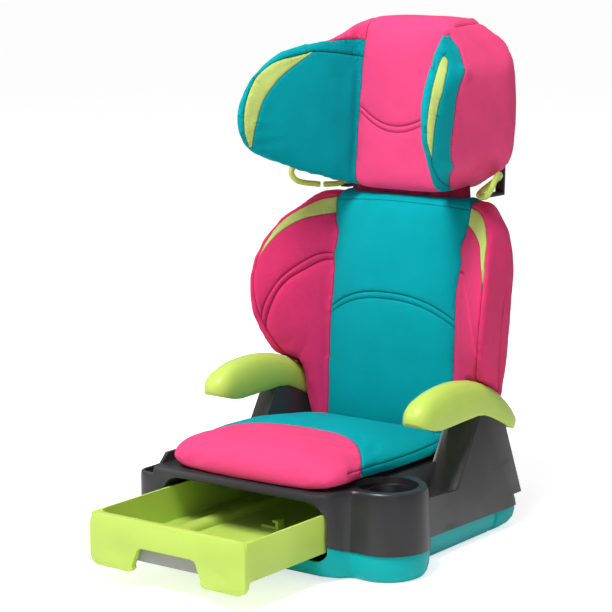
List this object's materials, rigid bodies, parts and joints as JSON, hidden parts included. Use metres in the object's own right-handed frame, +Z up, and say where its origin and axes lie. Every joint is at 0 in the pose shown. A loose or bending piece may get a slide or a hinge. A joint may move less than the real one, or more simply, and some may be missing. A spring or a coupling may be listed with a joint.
{
  "type": "booster seat",
  "caption": "High-back child booster seat with a padded seat, winged back and headrest, armrests, a cup holder and a pull-out storage drawer.",
  "frame": {"origin": "centre of the base's underside, on the surface it stands on, measured between the side walls and leaving the cup holder out", "axes": "+Z up; the seat and the drawer face -Y; the cup holder is on the +X side"},
  "size_m": [0.401, 0.5879, 0.682],
  "materials": {
    "dark_plastic": "satin, fine grain",
    "teal_plastic": "smooth satin",
    "lime_plastic": "smooth satin",
    "grey_plastic": "satin",
    "black_plastic": "matt",
    "pink_fabric": "fine knitted mesh over foam",
    "teal_fabric": "fine knitted mesh over foam",
    "foam": "open-cell foam",
    "steel": "plated"
  },
  "bodies": {
    "base": {"lower_shell": "teal_plastic", "upper_shell": "dark_plastic", "armrest_cap_left": "lime_plastic", "armrest_cap_right": "lime_plastic", "seat_cover": "pink_fabric", "seat_foam": "foam", "hinge_bar": "steel", "base_screw_1": "steel", "base_screw_2": "steel", "base_screw_3": "steel", "base_screw_4": "steel", "drawer_runner_left": "dark_plastic", "drawer_runner_right": "dark_plastic"},
    "drawer": {"drawer_tray": "lime_plastic", "drawer_pull": "grey_plastic"},
    "back": {"back_shell": "black_plastic", "back_centre_pad": "teal_fabric", "back_wing_pad_left": "pink_fabric", "back_wing_pad_right": "pink_fabric", "back_hook_left": "dark_plastic", "back_hook_right": "dark_plastic", "back_screw_left": "steel", "back_screw_right": "steel", "stem_guide_left": "dark_plastic", "stem_guide_right": "dark_plastic", "height_rack": "dark_plastic"},
    "head": {"head_shell": "black_plastic", "head_centre_pad": "pink_fabric", "head_wing_pad_left": "teal_fabric", "head_wing_pad_right": "teal_fabric", "head_stem": "dark_plastic", "belt_guide_left": "lime_plastic", "belt_guide_right": "lime_plastic", "guide_bracket_left": "black_plastic", "guide_bracket_right": "black_plastic", "head_screw_left": "steel", "head_screw_right": "steel", "lever_pin": "steel", "lever_spring": "steel"},
    "lever": {"adjust_lever": "lime_plastic"}
  },
  "joints": [
    {"name": "drawer_slide", "type": "slide", "parent": "base", "child": "drawer", "axis": [0, -1, 0], "range_m": [-0.1415, 0]},
    {"name": "back_recline", "type": "hinge", "parent": "base", "child": "back", "pos_m": [0, 0.1575, 0.098], "axis": [-1, 0, 0], "range_deg": [0, 15]},
    {"name": "headrest_height", "type": "slide", "parent": "back", "child": "head", "axis": [0, 0.0499, 0.9988], "range_m": [0, 0.1]},
    {"name": "lever_press", "type": "hinge", "parent": "head", "child": "lever", "pos_m": [0, 0.21196, 0.4188], "axis": [1, 0, 0], "range_deg": [0, 3], "stiffness_Nm_per_rad": 0.5}
  ]
}
